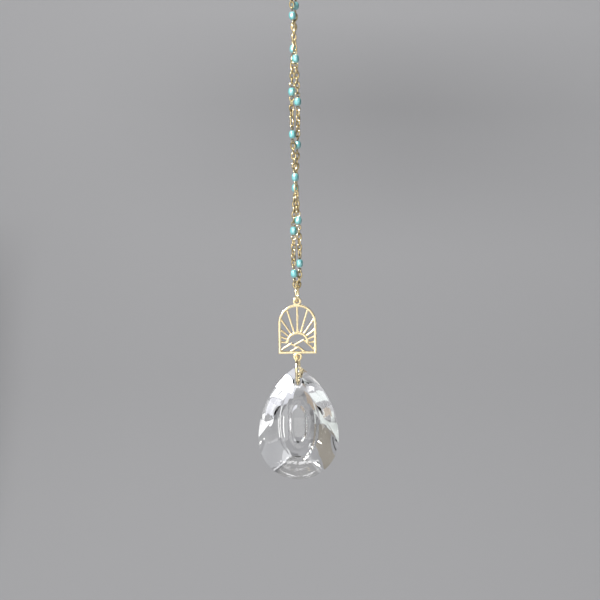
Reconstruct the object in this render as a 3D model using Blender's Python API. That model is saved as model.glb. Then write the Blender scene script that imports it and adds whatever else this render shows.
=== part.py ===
"""A crystal suncatcher: a clear glass drop on a gold sunrise charm and two twisted beaded chains.

It hangs from a ring. The origin is the point inside the top of that ring where a hook bears,
+Z is up, and the flat faces of the charm and the drop look along Y. Lengths are in metres.
"""

import math

import bmesh
import bpy
import numpy as np
from mathutils import Matrix, Vector

MM = 0.001

# Clearance between pieces that touch in the real object
SNUG = 0.24 * MM
BEAD_PLAY = 0.2 * MM
EYE_PLAY = 0.13 * MM

# Round wire rings: the upper one joins the chains to the charm, the lower one the charm to the drop
RING_WIRE = 0.8 * MM
RING_STEPS = 20
RING_SIDES = 6
HANGER_BORE = 10.4 * MM
UPPER_RING_OUTSIDE = 6.0 * MM
UPPER_RING_TURN = math.radians(-8.0)
LOWER_RING_WIRE = 0.9 * MM
LOWER_RING_OUTSIDE = 10.2 * MM
LOWER_RING_TURN = math.radians(-6.0)

# Chain links and the wire that carries each bead
LINK_WIRE = 0.58 * MM
LINK_LENGTH = 2.86 * MM
LINK_WIDTH = 1.96 * MM
LINK_END_WIDTH = 1.56 * MM
END_LINK_WIDTH = 2.26 * MM
END_LINK_END_WIDTH = 1.71 * MM
EYE_WIRE = 0.4 * MM
EYE_BORE = RING_WIRE + 2.0 * EYE_PLAY
EYE_LENGTH = EYE_BORE + 2.0 * EYE_WIRE
EYE_END_WIDTH = 1.4 * MM
TOUCH = 0.05 * MM
WIRE_SIDES = 4
SHAFT_SIDES = 6
LINKS_BETWEEN_BEADS = 5
BEADS_PER_STRAND = 8
EXTRA_LINKS = 4
LINKS_BELOW_A = 3
LINKS_BELOW_B = 1

# Beads
BEAD_HEIGHT = 2.65 * MM
BEAD_WIDTH = 2.5 * MM
BEAD_END_WIDTH = 1.6 * MM
BEAD_CHAMFER = 0.55 * MM
BEAD_BORE = EYE_WIRE + 2.0 * BEAD_PLAY
BEAD_SIDES = 8

# The two strands wind about each other
TWIST_PER_METRE = math.radians(3580.0)
TWIST_RADIUS = 1.06 * MM
END_RADIUS = 0.62 * MM
END_TAPER = 3.0 * MM
END_TURN = math.radians(45.0)
END_TURN_LENGTH = 2.5 * MM
SLACK_LENGTH = 14.0 * MM

# Sunrise charm: an arched frame with a half sun, its rays and three peaks
CHARM_WIDTH = 13.0 * MM
CHARM_HEIGHT = 16.85 * MM
CHARM_THICKNESS = 1.0 * MM
CHARM_BAR = 0.9 * MM
RAY_BAR = 0.7 * MM
RAY_COUNT = 11
RAY_STEP = math.radians(17.0)
SUN_RADIUS = 3.95 * MM
SUN_HEIGHT = 3.54 * MM
CHARM_EYE_WALL = 0.85 * MM
CHARM_EYE_SINK = 0.5 * MM
SUN_THICKNESS = 0.94 * CHARM_THICKNESS
RAY_THICKNESS = 0.82 * CHARM_THICKNESS
PEAK_THICKNESS = 0.88 * CHARM_THICKNESS
EYE_THICKNESS = 1.06 * CHARM_THICKNESS
ARCH_STEPS = 16
SUN_STEPS = 12
EYE_STEPS = 12

# Ridge lines of the peaks, as shares of half the charm's width and of the sun's height
PEAK_LINES = (
    ((-0.91, 0.31), (-0.346, 0.99), (-0.03, 0.62)),
    ((-0.17, 0.85), (0.31, 1.33), (0.91, 0.34)),
    ((-0.446, 0.10), (0.04, 0.68), (0.446, 0.10)),
)

# Crystal drop
DROP_BELLY_RADIUS = 13.65 * MM
DROP_FLANK_RADIUS = 30.0 * MM
DROP_HALF_THICKNESS = 5.6 * MM
DROP_CENTRE_RISE = 0.363 * DROP_BELLY_RADIUS
DROP_TIP_RISE = math.sqrt(2.0 * DROP_FLANK_RADIUS * DROP_BELLY_RADIUS - DROP_BELLY_RADIUS**2)
DROP_TIP_RISE -= DROP_CENTRE_RISE
GIRDLE_HALF = 0.7 * MM
GIRDLE_HALF_AT_TIP = 0.55 * MM
GIRDLE_HALF_AT_CORNER = 1.3 * MM
DOME_SIDE_REACH = 0.996 * DROP_BELLY_RADIUS
DOME_LOWER_REACH = 1.547 * DROP_BELLY_RADIUS
DOME_UPPER_REACH = 0.973 * DROP_TIP_RISE
DOME_TOP = (0.0, 0.911 * DROP_TIP_RISE)
DOME_SIDE = (0.664 * DROP_BELLY_RADIUS, -0.044 * DROP_BELLY_RADIUS)
DOME_FOOT = (0.195 * DROP_BELLY_RADIUS, -0.784 * DROP_BELLY_RADIUS)
FLANK_EDGE_BULGE = 0.103 * DROP_BELLY_RADIUS
LOWER_EDGE_BULGE = 0.037 * DROP_BELLY_RADIUS
FOOT_EDGE_BULGE = 0.015 * DROP_BELLY_RADIUS
SIDE_CORNER_ANGLE = math.radians(8.5)
FOOT_CORNER_ANGLE = math.radians(51.0)
DROP_BORE = 2.3 * MM
BORE_DEPTH_BELOW_TIP = 6.0 * MM
DOME_RINGS = 4
FLANK_STEPS = 10
LOWER_STEPS = 6
BORE_SIDES = 12
BORE_CUTTER_EXTRA = 2.5 * MM

# Finishes
GOLD = (0.78, 0.62, 0.33)
GOLD_ROUGHNESS = 0.25
GLASS = (0.98, 0.99, 1.0)
TURQUOISE = (0.12, 0.52, 0.54)
TURQUOISE_ROUGHNESS = 0.15

# Angles past which an edge stays sharp
WIRE_EDGE_ANGLE = math.radians(65.0)
FACET_EDGE_ANGLE = math.radians(12.0)


def clear_scene():
    """Removes whatever the scene holds."""
    for thing in list(bpy.data.objects):
        bpy.data.objects.remove(thing, do_unlink=True)


def make_material(name, colour, metallic, roughness, transmission=0.0):
    """Returns a Principled material."""
    material = bpy.data.materials.new(name)
    material.use_nodes = True
    shader = material.node_tree.nodes["Principled BSDF"]
    shader.inputs["Base Color"].default_value = (*colour, 1.0)
    shader.inputs["Metallic"].default_value = metallic
    shader.inputs["Roughness"].default_value = roughness
    shader.inputs["Transmission Weight"].default_value = transmission
    return material


def add_piece(name, vertices, faces, material):
    """Adds an object whose mesh is given in world coordinates."""
    mesh = bpy.data.meshes.new(name)
    mesh.from_pydata([tuple(v) for v in vertices], [], [tuple(f) for f in faces])
    mesh.materials.append(material)
    shell = bmesh.new()
    shell.from_mesh(mesh)
    bmesh.ops.recalc_face_normals(shell, faces=shell.faces)
    shell.to_mesh(mesh)
    shell.free()
    piece = bpy.data.objects.new(name, mesh)
    bpy.context.scene.collection.objects.link(piece)
    return piece


def smooth(piece, angle):
    """Shades a piece smooth, with its edges past an angle left sharp."""
    piece.data.shade_smooth()
    piece.data.set_sharp_from_angle(angle=angle)


def hide_tool(piece):
    """Marks a piece as a tool of the modelling, not a part of the object."""
    piece.hide_render = True
    piece.display_type = "WIRE"


def combine(piece, others, operation):
    """Joins other pieces to a piece, or cuts them from it, and hides them."""
    tools = bpy.data.collections.new(piece.name + "_tools")
    bpy.context.scene.collection.children.link(tools)
    for other in others:
        bpy.context.scene.collection.objects.unlink(other)
        tools.objects.link(other)
        hide_tool(other)
    cut = piece.modifiers.new(operation.title(), "BOOLEAN")
    cut.operation = operation
    cut.operand_type = "COLLECTION"
    cut.collection = tools
    cut.solver = "EXACT"


def round_section(wire, sides):
    """The (across, depth) points of a round wire's section."""
    angles = np.arange(sides) * 2.0 * math.pi / sides
    return [(wire / 2.0 * math.cos(a), wire / 2.0 * math.sin(a)) for a in angles]


def bar_section(width, thickness):
    """The (across, depth) points of a flat bar's section."""
    half, deep = width / 2.0, thickness / 2.0
    return [(half, -deep), (half, deep), (-half, deep), (-half, -deep)]


def swept(outline, section, closed=True):
    """A section carried along a flat path of (x, z) points, mitred at its corners.

    Each corner's section is set along the line that halves the corner, and stretched so that the
    wire or bar keeps its width. The ends of an open path are square and capped.
    """
    points = np.array(outline)
    ahead = np.roll(points, -1, axis=0) - points
    if not closed:
        ahead[-1] = ahead[-2]
    ahead /= np.linalg.norm(ahead, axis=1)[:, None]
    behind = np.roll(ahead, 1, axis=0)
    if not closed:
        behind[0] = ahead[0]
    outward = np.column_stack([ahead[:, 1] + behind[:, 1], -ahead[:, 0] - behind[:, 0]])
    outward /= np.linalg.norm(outward, axis=1)[:, None]
    stretch = 1.0 / np.abs(outward[:, 0] * ahead[:, 1] - outward[:, 1] * ahead[:, 0])
    vertices = []
    for point, side, factor in zip(points, outward, stretch):
        for across, depth in section:
            reach = across * factor
            vertices.append((point[0] + side[0] * reach, depth, point[1] + side[1] * reach))
    count, sides = len(points), len(section)
    faces = tube_faces(count, sides)
    if not closed:
        faces = faces[: (count - 1) * sides]
        faces.append(tuple(reversed(range(sides))))
        faces.append(tuple(range((count - 1) * sides, count * sides)))
    return vertices, faces


def tube_faces(steps, sides):
    """The quads of a closed tube of sections that follow each other."""
    faces = []
    for i in range(steps):
        for k in range(sides):
            here = i * sides
            there = (i + 1) % steps * sides
            after = (k + 1) % sides
            faces.append((here + k, here + after, there + after, there + k))
    return faces


def oval(length, width, end_width, wire):
    """The centre line of a link: flat at both ends and widest halfway."""
    tall = (length - wire) / 2.0
    wide = (width - wire) / 2.0
    end = (end_width - wire) / 2.0
    return [(end, -tall), (wide, 0.0), (end, tall), (-end, tall), (-wide, 0.0), (-end, -tall)]


def circle(radius, steps):
    """Points around a circle."""
    angles = (np.arange(steps) + 0.5) * 2.0 * math.pi / steps
    return [(radius * math.cos(a), radius * math.sin(a)) for a in angles]


def placed(vertices, matrix):
    """The vertices moved by a matrix."""
    return [tuple(matrix @ Vector(v)) for v in vertices]


def aligned(low, high, roll):
    """A matrix that puts +Z from the low point to the high point, turned by roll, at their middle."""
    up = (high - low).normalized()
    side = Vector((math.cos(roll), math.sin(roll), 0.0))
    side = (side - up * side.dot(up)).normalized()
    front = up.cross(side)
    turn = Matrix((side, front, up)).transposed().to_4x4()
    return Matrix.Translation((low + high) / 2.0) @ turn


def link_pitch():
    """Distance from one contact to the next along a link."""
    return LINK_LENGTH - 2.0 * LINK_WIRE + TOUCH


def eye_start():
    """Height of the outer face of a bead wire's eye nearest the bead, above the bead's middle."""
    return BEAD_HEIGHT / 2.0 + EYE_PLAY


def bead_pitch():
    """Distance between the contacts at the two eyes of a bead's wire."""
    return 2.0 * (eye_start() + EYE_LENGTH - EYE_WIRE) + TOUCH


def strand_length():
    """Distance between the two contacts at the ends of a strand."""
    links = LINKS_BETWEEN_BEADS * (BEADS_PER_STRAND - 1) + EXTRA_LINKS
    return links * link_pitch() + BEADS_PER_STRAND * bead_pitch()


# Heights along the hanging line, from the hook down
HANGER_RADIUS = (HANGER_BORE + RING_WIRE) / 2.0
HANGER_Z = RING_WIRE / 2.0 - HANGER_RADIUS
STRAND_TOP_Z = HANGER_Z - HANGER_RADIUS + RING_WIRE / 2.0 + EYE_PLAY
STRAND_FOOT_Z = STRAND_TOP_Z - strand_length()
UPPER_RING_RADIUS = (UPPER_RING_OUTSIDE - RING_WIRE) / 2.0
UPPER_RING_Z = STRAND_FOOT_Z + RING_WIRE / 2.0 + EYE_PLAY - UPPER_RING_RADIUS
TOP_EYE_BORE = RING_WIRE + 2.0 * SNUG
TOP_EYE_Z = UPPER_RING_Z - UPPER_RING_RADIUS
CHARM_TOP_Z = TOP_EYE_Z - TOP_EYE_BORE / 2.0 - CHARM_EYE_WALL + CHARM_EYE_SINK
CHARM_FOOT_Z = CHARM_TOP_Z - CHARM_HEIGHT
FOOT_EYE_BORE = LOWER_RING_WIRE + 2.0 * SNUG
FOOT_EYE_Z = CHARM_FOOT_Z - FOOT_EYE_BORE / 2.0 - CHARM_EYE_WALL + CHARM_EYE_SINK
LOWER_RING_RADIUS = (LOWER_RING_OUTSIDE - LOWER_RING_WIRE) / 2.0
LOWER_RING_Z = FOOT_EYE_Z - LOWER_RING_RADIUS
DROP_BORE_Z = LOWER_RING_Z - LOWER_RING_RADIUS + (DROP_BORE - LOWER_RING_WIRE) / 2.0 - SNUG
DROP_TIP_Z = DROP_BORE_Z + BORE_DEPTH_BELOW_TIP

# Winding of the strands, measured at their foot and eased so that both ends lie along their rings
FOOT_ANGLE = -math.pi / 2.0 - UPPER_RING_TURN + END_TURN
TURN_AT_TOP = FOOT_ANGLE + TWIST_PER_METRE * strand_length() + END_TURN
TOP_SLACK = math.remainder(TURN_AT_TOP, math.pi)
ROLL_TURNS = round((TURN_AT_TOP - TOP_SLACK) / math.pi)
ROLL_IN_ALL = UPPER_RING_TURN + math.pi / 2.0 + ROLL_TURNS * math.pi


def add_ring(name, wire, radius, z, turn, material):
    """A round wire ring that faces along Y, turned about Z."""
    vertices, faces = swept(circle(radius, RING_STEPS), round_section(wire, RING_SIDES))
    matrix = Matrix.Translation((0.0, 0.0, z)) @ Matrix.Rotation(turn, 4, "Z")
    piece = add_piece(name, placed(vertices, matrix), faces, material)
    smooth(piece, WIRE_EDGE_ANGLE)


def eased(share):
    """A share from 0 to 1 that starts and ends slowly."""
    share = min(max(share, 0.0), 1.0)
    return share * share * (3.0 - 2.0 * share)


def strand_point(height, start_angle):
    """A point of a strand's centre line, a left-handed screw that closes in at both ends.

    The height is measured from the strand's foot. Near each end the screw turns faster, so that
    the two strands come to lie side by side along the wire of the ring that they hang on.
    """
    below_top = strand_length() - height
    spread = min(eased(height / END_TAPER), eased(below_top / END_TAPER))
    radius = END_RADIUS + (TWIST_RADIUS - END_RADIUS) * spread
    angle = FOOT_ANGLE + TWIST_PER_METRE * height + start_angle
    angle -= END_TURN * (1.0 - eased(height / END_TURN_LENGTH))
    angle += END_TURN * (1.0 - eased(below_top / END_TURN_LENGTH))
    angle -= TOP_SLACK * eased(1.0 - below_top / SLACK_LENGTH)
    return Vector((radius * math.cos(angle), -radius * math.sin(angle), STRAND_FOOT_Z + height))


def strand_order(links_below, links_above):
    """The order of a strand's links and beads, from its foot up."""
    order = ["link"] * links_below + ["bead"]
    for _ in range(BEADS_PER_STRAND - 1):
        order += ["link"] * LINKS_BETWEEN_BEADS + ["bead"]
    return order + ["link"] * links_above


def bead_wire():
    """The wire through a bead, with an eye bent at each end, as three meshes about its middle."""
    outline = oval(EYE_LENGTH, EYE_LENGTH, EYE_END_WIDTH, EYE_WIRE)
    loop, faces = swept(outline, round_section(EYE_WIRE, WIRE_SIDES))
    rise = eye_start() + EYE_LENGTH / 2.0
    upper = [(x, y, z + rise) for x, y, z in loop]
    lower = [(x, y, z - rise) for x, y, z in loop]
    half = eye_start() + EYE_WIRE / 2.0
    angles = np.arange(SHAFT_SIDES) * 2.0 * math.pi / SHAFT_SIDES
    shaft = []
    for z in (-half, half):
        for a in angles:
            shaft.append((EYE_WIRE / 2.0 * math.cos(a), EYE_WIRE / 2.0 * math.sin(a), z))
    sides = []
    for k in range(SHAFT_SIDES):
        after = (k + 1) % SHAFT_SIDES
        sides.append((k, after, SHAFT_SIDES + after, SHAFT_SIDES + k))
    sides.append(tuple(reversed(range(SHAFT_SIDES))))
    sides.append(tuple(range(SHAFT_SIDES, 2 * SHAFT_SIDES)))
    return (upper, faces), (lower, faces), (shaft, sides)


def bead_shape():
    """A faceted bead about its middle: a prism with cut-back ends and a bore along Z."""
    half = BEAD_HEIGHT / 2.0
    profile = (
        (BEAD_BORE / 2.0, -half),
        (BEAD_END_WIDTH / 2.0, -half),
        (BEAD_WIDTH / 2.0, -half + BEAD_CHAMFER),
        (BEAD_WIDTH / 2.0, half - BEAD_CHAMFER),
        (BEAD_END_WIDTH / 2.0, half),
        (BEAD_BORE / 2.0, half),
    )
    vertices = []
    for k in range(BEAD_SIDES):
        angle = k * 2.0 * math.pi / BEAD_SIDES
        for radius, z in profile:
            vertices.append((radius * math.cos(angle), radius * math.sin(angle), z))
    return vertices, tube_faces(BEAD_SIDES, len(profile))


def add_strand(name, start_angle, links_below, materials):
    """One strand: its links and bead wires joined in one piece, and its beads as pieces of their own."""
    gold, turquoise = materials
    section = round_section(LINK_WIRE, WIRE_SIDES)
    link = swept(oval(LINK_LENGTH, LINK_WIDTH, LINK_END_WIDTH, LINK_WIRE), section)
    end_link = swept(oval(LINK_LENGTH, END_LINK_WIDTH, END_LINK_END_WIDTH, LINK_WIRE), section)
    wires = []
    height = 0.0
    beads = 0
    order = strand_order(links_below, EXTRA_LINKS - links_below)
    for count, kind in enumerate(order):
        length = link_pitch() if kind == "link" else bead_pitch()
        middle = (height + length / 2.0) / strand_length()
        roll = UPPER_RING_TURN - ROLL_IN_ALL * middle + count % 2 * math.pi / 2.0
        low = strand_point(height, start_angle)
        high = strand_point(height + length, start_angle)
        matrix = aligned(low, high, roll)
        at_an_end = count in (0, len(order) - 1)
        shapes = (end_link if at_an_end else link,) if kind == "link" else bead_wire()
        for number, (vertices, faces) in enumerate(shapes):
            wires.append(add_piece(f"{name}_wire_{count}_{number}", placed(vertices, matrix), faces, gold))
        if kind == "bead":
            beads += 1
            vertices, faces = bead_shape()
            add_piece(f"{name}_bead_{beads}", placed(vertices, matrix), faces, turquoise)
        height += length
    whole = wires[0]
    whole.name = f"{name}_chain"
    combine(whole, wires[1:], "UNION")


def arch_outline():
    """The middle line of the charm's frame: three straight sides under a half circle."""
    half = (CHARM_WIDTH - CHARM_BAR) / 2.0
    foot = CHARM_FOOT_Z + CHARM_BAR / 2.0
    spring = CHARM_TOP_Z - CHARM_WIDTH / 2.0
    angles = np.linspace(0.0, math.pi, ARCH_STEPS + 1)
    arc = [(half * math.cos(a), spring + half * math.sin(a)) for a in angles]
    return [(-half, foot), (half, foot)] + arc


def ray_reach(angle):
    """Distance from the sun's centre to the middle of the frame, at an angle from upright."""
    half = (CHARM_WIDTH - CHARM_BAR) / 2.0
    sine, cosine = math.sin(angle), math.cos(angle)
    rise = CHARM_HEIGHT - CHARM_WIDTH / 2.0 - SUN_HEIGHT
    if half * cosine <= rise * abs(sine):
        return half / abs(sine)
    return rise * cosine + math.sqrt(half**2 - (rise * sine) ** 2)


def add_charm(material):
    """The sunrise charm: frame, sun, rays, peaks and two eyes, joined in one piece."""
    sun_z = CHARM_FOOT_Z + SUN_HEIGHT
    frame_bar = bar_section(CHARM_BAR, CHARM_THICKNESS)
    sun_bar = bar_section(CHARM_BAR, SUN_THICKNESS)
    ray_bar = bar_section(RAY_BAR, RAY_THICKNESS)
    peak_bar = bar_section(RAY_BAR, PEAK_THICKNESS)
    shapes = [swept(arch_outline(), frame_bar)]
    middle = SUN_RADIUS - CHARM_BAR / 2.0
    last_ray = RAY_STEP * (RAY_COUNT - 1) / 2.0
    angles = np.linspace(-last_ray, last_ray, SUN_STEPS + 1)
    arc = [(middle * math.sin(a), sun_z + middle * math.cos(a)) for a in angles]
    shapes.append(swept(arc, sun_bar, closed=False))
    for k in range(RAY_COUNT):
        angle = k * RAY_STEP - last_ray
        ends = [(r * math.sin(angle), sun_z + r * math.cos(angle)) for r in (middle, ray_reach(angle))]
        shapes.append(swept(ends, ray_bar, closed=False))
    for line in PEAK_LINES:
        path = [(x * CHARM_WIDTH / 2.0, CHARM_FOOT_Z + z * SUN_HEIGHT) for x, z in line]
        shapes.append(swept(path, peak_bar, closed=False))
    for bore, z in ((TOP_EYE_BORE, TOP_EYE_Z), (FOOT_EYE_BORE, FOOT_EYE_Z)):
        eye = [(x, z + rise) for x, rise in circle((bore + CHARM_EYE_WALL) / 2.0, EYE_STEPS)]
        shapes.append(swept(eye, bar_section(CHARM_EYE_WALL, EYE_THICKNESS)))
    bars = [add_piece(f"charm_bar_{n}", *shape, material) for n, shape in enumerate(shapes)]
    charm = bars[0]
    charm.name = "sun_charm"
    combine(charm, bars[1:], "UNION")


def drop_outline(distance):
    """The (x, rise) point of the drop's outline, at a distance along it from the tip.

    A flank of large radius runs from the tip to the widest place, where a round belly takes over.
    The rise is measured from the middle of the dome.
    """
    tip_angle = math.acos(1.0 - DROP_BELLY_RADIUS / DROP_FLANK_RADIUS)
    if distance < tip_angle * DROP_FLANK_RADIUS:
        angle = tip_angle - distance / DROP_FLANK_RADIUS
        x = DROP_BELLY_RADIUS - DROP_FLANK_RADIUS * (1.0 - math.cos(angle))
        return x, DROP_FLANK_RADIUS * math.sin(angle) - DROP_CENTRE_RISE
    angle = distance / DROP_BELLY_RADIUS - tip_angle * DROP_FLANK_RADIUS / DROP_BELLY_RADIUS
    return DROP_BELLY_RADIUS * math.cos(angle), -DROP_BELLY_RADIUS * math.sin(angle) - DROP_CENTRE_RISE


def dome_height(x, rise):
    """Half the drop's thickness on its smooth dome, which falls off faster across than upright."""
    reach = DOME_UPPER_REACH if rise > 0.0 else DOME_LOWER_REACH
    return DROP_HALF_THICKNESS * (1.0 - (x / DOME_SIDE_REACH) ** 2 - (rise / reach) ** 2)


def facet_spokes(inner, bulge, outer, girdles, steps):
    """The spokes of one facet: pairs of a point on the dome's edge and a point on the outline.

    The dome's edge bows in towards the middle between its corners. The girdle is thinnest halfway
    along the facet and thickens towards its corners, as a flat cut across a round outline leaves it.
    """
    start, end = Vector(inner[0]), Vector(inner[1])
    along = (end - start).normalized()
    inward = Vector((along.y, -along.x))
    if inward.dot(start + end) > 0.0:
        inward = -inward
    spokes = []
    for k in range(steps):
        s = k / steps
        x, rise = start.lerp(end, s) + inward * bulge * 4.0 * s * (1.0 - s)
        edge = (x, dome_height(x, rise), rise)
        x, rise = drop_outline(outer[0] + (outer[1] - outer[0]) * s)
        girdle = girdles[0] * (1.0 - s) * (1.0 - 2.0 * s) + girdles[1] * s * (2.0 * s - 1.0)
        girdle += 4.0 * GIRDLE_HALF * s * (1.0 - s)
        spokes.append((edge, (x, girdle, rise)))
    return spokes


def drop_spokes():
    """All the spokes around the drop, clockwise from its tip."""
    flank = math.acos(1.0 - DROP_BELLY_RADIUS / DROP_FLANK_RADIUS) * DROP_FLANK_RADIUS
    side = flank + SIDE_CORNER_ANGLE * DROP_BELLY_RADIUS
    foot = flank + FOOT_CORNER_ANGLE * DROP_BELLY_RADIUS
    across = flank + (math.pi - FOOT_CORNER_ANGLE) * DROP_BELLY_RADIUS
    corner = GIRDLE_HALF_AT_CORNER
    far_foot = (-DOME_FOOT[0], DOME_FOOT[1])
    right = facet_spokes(
        (DOME_TOP, DOME_SIDE), FLANK_EDGE_BULGE, (0.0, side), (GIRDLE_HALF_AT_TIP, corner), FLANK_STEPS
    )
    right += facet_spokes(
        (DOME_SIDE, DOME_FOOT), LOWER_EDGE_BULGE, (side, foot), (corner, corner), LOWER_STEPS
    )
    below = facet_spokes(
        (DOME_FOOT, far_foot), FOOT_EDGE_BULGE, (foot, across), (corner, corner), LOWER_STEPS
    )
    left = [tuple((-x, y, z) for x, y, z in spoke) for spoke in reversed(right[1:] + below[:1])]
    return right + below + left


def add_drop(material):
    """The crystal drop: a dome and five facets on each face, a thin girdle and a bore for its ring."""
    spokes = drop_spokes()
    count = len(spokes)
    vertices = []
    for face in (-1.0, 1.0):
        vertices.append((0.0, face * DROP_HALF_THICKNESS, 0.0))
        for ring in range(1, DOME_RINGS + 1):
            share = ring / DOME_RINGS
            for (x, _, rise), _ in spokes:
                height = dome_height(x * share, rise * share)
                vertices.append((x * share, face * height, rise * share))
        vertices += [(x, face * girdle, rise) for _, (x, girdle, rise) in spokes]
    side_size = len(vertices) // 2
    faces = []
    for base in (0, side_size):
        for k in range(count):
            after = (k + 1) % count
            faces.append((base, base + 1 + k, base + 1 + after))
            for ring in range(DOME_RINGS):
                near = base + 1 + ring * count
                far = near + count
                faces.append((near + k, far + k, far + after, near + after))
    rim = side_size - count
    for k in range(count):
        after = (k + 1) % count
        faces.append((rim + k, rim + after, side_size + rim + after, side_size + rim + k))
    middle = Vector((0.0, 0.0, DROP_TIP_Z - DROP_TIP_RISE))
    drop = add_piece("crystal_drop", [middle + Vector(v) for v in vertices], faces, material)
    smooth(drop, FACET_EDGE_ANGLE)
    half = DROP_HALF_THICKNESS + BORE_CUTTER_EXTRA
    cutter_faces = [tuple(range(BORE_SIDES)), tuple(range(BORE_SIDES, 2 * BORE_SIDES))]
    for k in range(BORE_SIDES):
        after = (k + 1) % BORE_SIDES
        cutter_faces.append((k, after, BORE_SIDES + after, BORE_SIDES + k))
    bore = []
    for y in (-half, half):
        bore += [(x, y, DROP_BORE_Z + z) for x, z in circle(DROP_BORE / 2.0, BORE_SIDES)]
    cutter = add_piece("bore_cutter", bore, cutter_faces, material)
    combine(drop, [cutter], "DIFFERENCE")


def main():
    """Builds the suncatcher from the hook down."""
    clear_scene()
    gold = make_material("gold", GOLD, 1.0, GOLD_ROUGHNESS)
    glass = make_material("glass", GLASS, 0.0, 0.0, transmission=1.0)
    turquoise = make_material("turquoise", TURQUOISE, 0.0, TURQUOISE_ROUGHNESS)
    add_ring("hanging_ring", RING_WIRE, HANGER_RADIUS, HANGER_Z, 0.0, gold)
    add_strand("strand_a", 0.0, LINKS_BELOW_A, (gold, turquoise))
    add_strand("strand_b", math.pi, LINKS_BELOW_B, (gold, turquoise))
    quarter = math.pi / 2.0
    add_ring("upper_jump_ring", RING_WIRE, UPPER_RING_RADIUS, UPPER_RING_Z, quarter + UPPER_RING_TURN, gold)
    add_charm(gold)
    add_ring("lower_jump_ring", LOWER_RING_WIRE, LOWER_RING_RADIUS, LOWER_RING_Z, quarter + LOWER_RING_TURN, gold)
    add_drop(glass)


main()
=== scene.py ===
"""The looks of a crystal suncatcher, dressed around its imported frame.

It hangs from a ring whose inner top is the origin. +Z is up, and the charm and the drop face
along Y. Lengths are in metres.
"""

import logging
import math
from dataclasses import dataclass, field
from enum import Enum

import bmesh
import bpy
import numpy as np
from mathutils import Matrix, Vector


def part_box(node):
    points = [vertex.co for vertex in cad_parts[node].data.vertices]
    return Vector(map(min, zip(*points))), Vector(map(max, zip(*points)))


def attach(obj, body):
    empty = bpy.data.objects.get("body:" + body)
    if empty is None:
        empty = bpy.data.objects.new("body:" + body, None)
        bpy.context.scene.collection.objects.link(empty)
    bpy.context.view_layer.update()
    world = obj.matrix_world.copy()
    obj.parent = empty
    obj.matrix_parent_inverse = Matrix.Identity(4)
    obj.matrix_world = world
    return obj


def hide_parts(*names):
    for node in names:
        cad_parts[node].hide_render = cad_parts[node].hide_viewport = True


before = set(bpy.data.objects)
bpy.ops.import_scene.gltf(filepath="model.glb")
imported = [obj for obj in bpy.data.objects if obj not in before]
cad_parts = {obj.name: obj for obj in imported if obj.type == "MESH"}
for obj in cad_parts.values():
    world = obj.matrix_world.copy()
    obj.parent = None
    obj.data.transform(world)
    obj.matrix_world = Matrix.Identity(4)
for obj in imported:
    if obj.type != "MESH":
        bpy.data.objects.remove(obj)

log = logging.getLogger("suncatcher")

MM = 0.001
Colour = tuple[float, float, float]


class Slot(Enum):
    """The record's material slots."""

    GOLD = "gold"
    TURQUOISE = "turquoise"
    CRYSTAL = "crystal"


# Surfaces


def grid_quads(rows: int, columns: int, wrap_rows: bool, wrap_columns: bool) -> np.ndarray:
    """Joins the vertices of a grid, numbered row by row, into quads.

    Args:
        rows: Vertices along the first parameter.
        columns: Vertices along the second parameter.
        wrap_rows: Whether the last row joins the first.
        wrap_columns: Whether the last column joins the first.

    Returns:
        An array of four vertex numbers for each quad.
    """
    row, column = np.meshgrid(
        np.arange(rows if wrap_rows else rows - 1),
        np.arange(columns if wrap_columns else columns - 1),
        indexing="ij",
    )
    row, column = row.ravel(), column.ravel()
    next_row, next_column = (row + 1) % rows, (column + 1) % columns
    return np.column_stack(
        [
            row * columns + column,
            row * columns + next_column,
            next_row * columns + next_column,
            next_row * columns + column,
        ]
    )


@dataclass
class Shell:
    """A closed surface that isn't an object yet: vertices, quads and the faces that cap its ends."""

    vertices: np.ndarray
    quads: np.ndarray
    caps: list[list[int]] = field(default_factory=list)

    def moved(self, matrix: Matrix) -> "Shell":
        """Returns the shell with each vertex multiplied by the matrix."""
        turn = np.array(matrix.to_3x3())
        return Shell(self.vertices @ turn.T + np.array(matrix.translation), self.quads, self.caps)

    def piece(self, name: str) -> bpy.types.Object:
        """Makes the object, smooth shaded, with its faces pointing outwards.

        Args:
            name: The object's name.

        Returns:
            The object, at the origin.
        """
        mesh = bpy.data.meshes.new(name)
        mesh.from_pydata(self.vertices.tolist(), [], self.quads.tolist() + self.caps)
        skin = bmesh.new()
        skin.from_mesh(mesh)
        bmesh.ops.recalc_face_normals(skin, faces=skin.faces)
        skin.to_mesh(mesh)
        skin.free()
        mesh.shade_smooth()
        piece = bpy.data.objects.new(name, mesh)
        bpy.context.scene.collection.objects.link(piece)
        return piece


def joined(shells: list[Shell]) -> Shell:
    """Puts several shells in one.

    Args:
        shells: The shells, each closed by itself.

    Returns:
        One shell with all their vertices, their faces renumbered.
    """
    starts = np.cumsum([0] + [len(shell.vertices) for shell in shells[:-1]])
    quads = np.concatenate([shell.quads + start for shell, start in zip(shells, starts)])
    caps = [[int(start) + k for k in cap] for shell, start in zip(shells, starts) for cap in shell.caps]
    return Shell(np.concatenate([shell.vertices for shell in shells]), quads, caps)


def round_section(wire: float, sides: int) -> np.ndarray:
    """Returns the (across, depth) points of a round wire: radius times cosine and sine."""
    angle = np.linspace(0.0, 2.0 * math.pi, sides, endpoint=False)
    return wire / 2.0 * np.column_stack([np.cos(angle), np.sin(angle)])


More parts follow.
